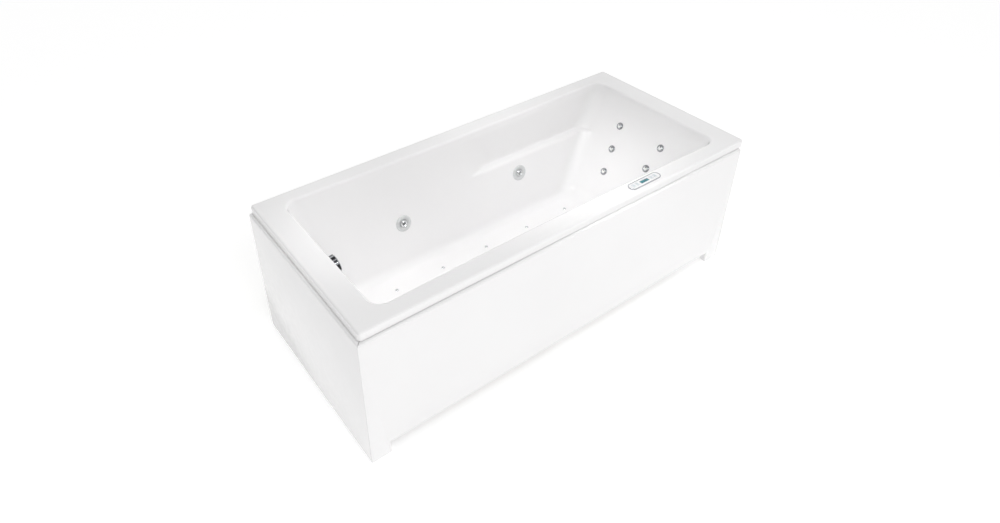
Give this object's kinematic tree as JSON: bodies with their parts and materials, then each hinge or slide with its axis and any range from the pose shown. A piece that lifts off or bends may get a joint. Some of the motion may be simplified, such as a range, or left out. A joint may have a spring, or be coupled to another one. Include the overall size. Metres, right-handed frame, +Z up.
{
  "type": "rectangular hydromassage bathtub",
  "caption": "Rectangular acrylic hydromassage bath on a steel frame, with front and end panels, water jets, air nozzles, pump, keypad and pop-up waste.",
  "frame": {"origin": "centre of the bounding box at the floor, under the tub", "axes": "+X along the tub towards the backrest, +Y towards the wall side, +Z up; the front panel faces -Y"},
  "size_m": [1.711, 0.761, 0.5696],
  "materials": {
    "acrylic": "gloss white sanitary acrylic",
    "board": "raw chipboard sealed with resin",
    "frame_paint": "grey powder coat",
    "zinc_steel": "zinc plated",
    "chrome": "polished chrome",
    "white_plastic": "white PVC",
    "black_rubber": "matt black rubber",
    "grey_plastic": "grey plastic",
    "jet_plastic": "light grey plastic",
    "motor_paint": "dark painted aluminium",
    "black_plastic": "black moulded plastic",
    "key_white": "white film",
    "key_grey": "light grey film",
    "lcd_glass": "dark teal display window"
  },
  "bodies": {
    "tub": {"tub_shell": "acrylic", "base_board": "board", "front_panel": "acrylic", "end_panel": "acrylic", "panel_clips": "zinc_steel", "long_rails": "frame_paint", "cross_beams": "frame_paint", "rim_posts": "frame_paint", "frame_bolts": "zinc_steel", "drain_flange": "chrome", "drain_body": "white_plastic", "drain_trap": "white_plastic", "union_nuts": "white_plastic", "waste_outlet": "white_plastic", "waste_gaskets": "black_rubber", "overflow_rosette": "chrome", "overflow_body": "white_plastic", "overflow_hose": "grey_plastic", "plug_cable": "black_rubber", "side_jet_flanges": "jet_plastic", "side_jet_bodies": "white_plastic", "back_jet_bodies": "jet_plastic", "suction_grille": "chrome", "suction_body": "white_plastic", "suction_pipe": "white_plastic", "pump_motor": "motor_paint", "pump_casing": "black_plastic", "service_tray": "zinc_steel", "pressure_pipe": "white_plastic", "back_jet_pipes": "white_plastic", "air_nozzles": "jet_plastic", "air_rails": "white_plastic", "air_blower": "black_plastic", "air_hose": "grey_plastic", "control_box": "grey_plastic", "keypad_bezel": "chrome", "keypad_face": "key_white", "keypad_lens": "lcd_glass"},
    "knob": {"overflow_knob": "chrome"},
    "plug": {"drain_plug": "chrome"},
    "impeller": {"pump_impeller": "grey_plastic"},
    "eye_1": {"side_jet_eye_1": "chrome"},
    "key_1": {"key_1": "key_grey"},
    "eye_2": {"side_jet_eye_2": "chrome"},
    "key_2": {"key_2": "key_grey"},
    "eye_3": {"side_jet_eye_3": "chrome"},
    "key_3": {"key_3": "key_grey"},
    "eye_4": {"side_jet_eye_4": "chrome"},
    "key_4": {"key_4": "key_grey"},
    "nozzle_1": {"back_jet_nozzle_1": "chrome"},
    "nozzle_2": {"back_jet_nozzle_2": "chrome"},
    "nozzle_3": {"back_jet_nozzle_3": "chrome"},
    "nozzle_4": {"back_jet_nozzle_4": "chrome"},
    "nozzle_5": {"back_jet_nozzle_5": "chrome"},
    "nozzle_6": {"back_jet_nozzle_6": "chrome"},
    "foot_1": {"foot_1": "black_plastic"},
    "foot_2": {"foot_2": "black_plastic"},
    "foot_3": {"foot_3": "black_plastic"},
    "foot_4": {"foot_4": "black_plastic"},
    "foot_5": {"foot_5": "black_plastic"}
  },
  "joints": [
    {"name": "overflow_knob_turn", "type": "hinge", "parent": "tub", "child": "knob", "pos_m": [-0.73983, 0.0055, 0.495], "axis": [0.9864, 0, 0.1644], "range_deg": [0, 90]},
    {"name": "drain_plug_lift", "type": "slide", "parent": "tub", "child": "plug", "axis": [0, 0, 1], "range_m": [0, 0.01]},
    {"name": "side_jet_1_tilt", "type": "hinge", "parent": "tub", "child": "eye_1", "pos_m": [-0.3125, 0.25759, 0.31354], "axis": [1, 0, 0], "range_deg": [-12, 12]},
    {"name": "side_jet_2_tilt", "type": "hinge", "parent": "tub", "child": "eye_2", "pos_m": [0.2675, 0.25759, 0.31354], "axis": [1, 0, 0], "range_deg": [-12, 12]},
    {"name": "side_jet_3_tilt", "type": "hinge", "parent": "tub", "child": "eye_3", "pos_m": [-0.3125, -0.24659, 0.31354], "axis": [1, 0, 0], "range_deg": [-12, 12]},
    {"name": "side_jet_4_tilt", "type": "hinge", "parent": "tub", "child": "eye_4", "pos_m": [0.2675, -0.24659, 0.31354], "axis": [1, 0, 0], "range_deg": [-12, 12]},
    {"name": "back_jet_1_turn", "type": "hinge", "parent": "tub", "child": "nozzle_1", "pos_m": [0.7079, 0.1175, 0.449], "axis": [-0.8575, 0, 0.5145], "continuous": true},
    {"name": "back_jet_2_turn", "type": "hinge", "parent": "tub", "child": "nozzle_2", "pos_m": [0.6557, 0.1015, 0.362], "axis": [-0.8575, 0, 0.5145], "continuous": true},
    {"name": "back_jet_3_turn", "type": "hinge", "parent": "tub", "child": "nozzle_3", "pos_m": [0.6035, 0.0855, 0.275], "axis": [-0.8575, 0, 0.5145], "continuous": true},
    {"name": "back_jet_4_turn", "type": "hinge", "parent": "tub", "child": "nozzle_4", "pos_m": [0.7079, -0.1065, 0.449], "axis": [-0.8575, 0, 0.5145], "continuous": true},
    {"name": "back_jet_5_turn", "type": "hinge", "parent": "tub", "child": "nozzle_5", "pos_m": [0.6557, -0.0905, 0.362], "axis": [-0.8575, 0, 0.5145], "continuous": true},
    {"name": "back_jet_6_turn", "type": "hinge", "parent": "tub", "child": "nozzle_6", "pos_m": [0.6035, -0.0745, 0.275], "axis": [-0.8575, 0, 0.5145], "continuous": true},
    {"name": "pump_impeller_spin", "type": "hinge", "parent": "tub", "child": "impeller", "pos_m": [0.7475, -0.2025, 0.193], "axis": [0, 1, 0], "continuous": true},
    {"name": "key_1_press", "type": "slide", "parent": "tub", "child": "key_1", "axis": [0, 0, -1], "range_m": [0, 0.0008], "stiffness_N_per_m": 800, "springref_m": -0.0003},
    {"name": "key_2_press", "type": "slide", "parent": "tub", "child": "key_2", "axis": [0, 0, -1], "range_m": [0, 0.0008], "stiffness_N_per_m": 800, "springref_m": -0.0003},
    {"name": "key_3_press", "type": "slide", "parent": "tub", "child": "key_3", "axis": [0, 0, -1], "range_m": [0, 0.0008], "stiffness_N_per_m": 800, "springref_m": -0.0003},
    {"name": "key_4_press", "type": "slide", "parent": "tub", "child": "key_4", "axis": [0, 0, -1], "range_m": [0, 0.0008], "stiffness_N_per_m": 800, "springref_m": -0.0003},
    {"name": "foot_1_level", "type": "slide", "parent": "tub", "child": "foot_1", "axis": [0, 0, 1], "range_m": [-0.015, 0.01]},
    {"name": "foot_2_level", "type": "slide", "parent": "tub", "child": "foot_2", "axis": [0, 0, 1], "range_m": [-0.015, 0.01]},
    {"name": "foot_3_level", "type": "slide", "parent": "tub", "child": "foot_3", "axis": [0, 0, 1], "range_m": [-0.015, 0.01]},
    {"name": "foot_4_level", "type": "slide", "parent": "tub", "child": "foot_4", "axis": [0, 0, 1], "range_m": [-0.015, 0.01]},
    {"name": "foot_5_level", "type": "slide", "parent": "tub", "child": "foot_5", "axis": [0, 0, 1], "range_m": [-0.015, 0.01]}
  ],
  "couplings": [
    {"joint": "drain_plug_lift", "follows": "overflow_knob_turn", "m_per_rad": 0.006365}
  ]
}
